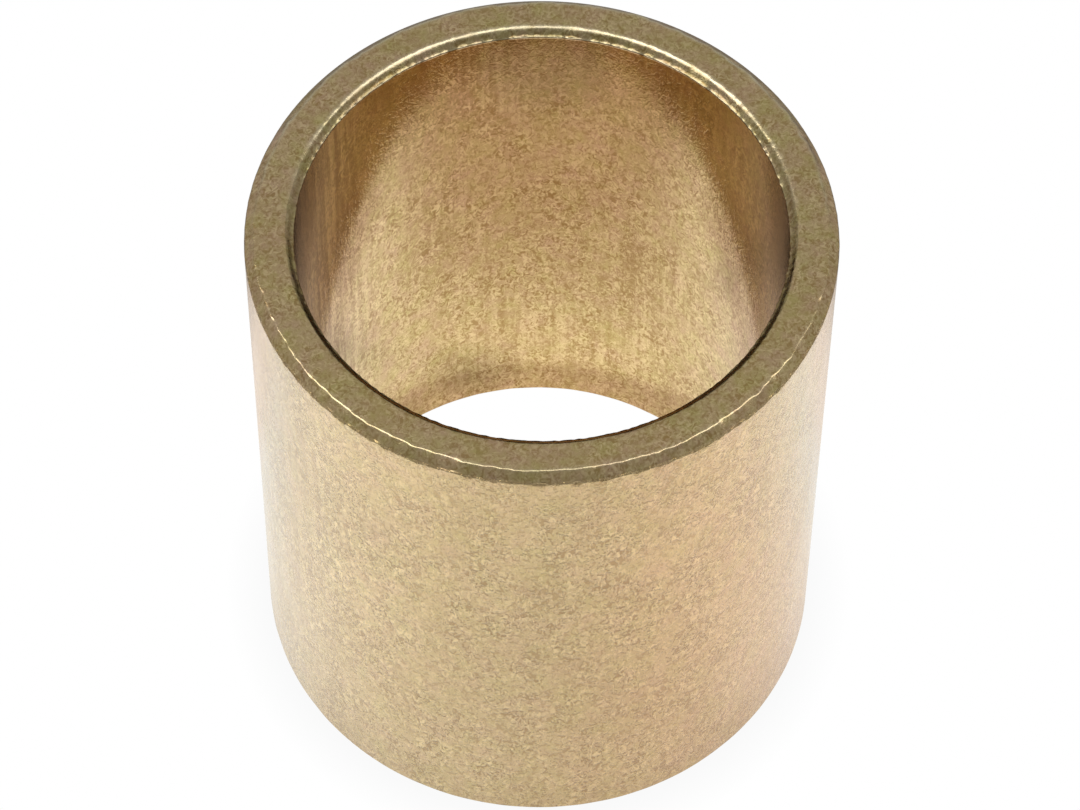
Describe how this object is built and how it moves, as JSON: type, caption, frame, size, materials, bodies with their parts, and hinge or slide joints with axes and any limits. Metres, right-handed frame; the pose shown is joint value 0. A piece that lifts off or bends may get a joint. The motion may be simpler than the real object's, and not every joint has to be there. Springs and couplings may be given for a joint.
{
  "type": "sleeve bushing",
  "caption": "Plain cylindrical sleeve bushing of sintered bronze with a smooth through bore and chamfered edges, for a shaft to turn in.",
  "frame": {"origin": "centre of the bottom end face, on the bore's axis", "axes": "+Z along the bore's axis, from the bottom end face to the top end face; X and Y cross the sleeve and are alike"},
  "size_m": [0.018, 0.018, 0.02],
  "materials": {
    "bronze": "satin"
  },
  "bodies": {
    "root": {"bushing_sleeve": "bronze"}
  },
  "joints": []
}
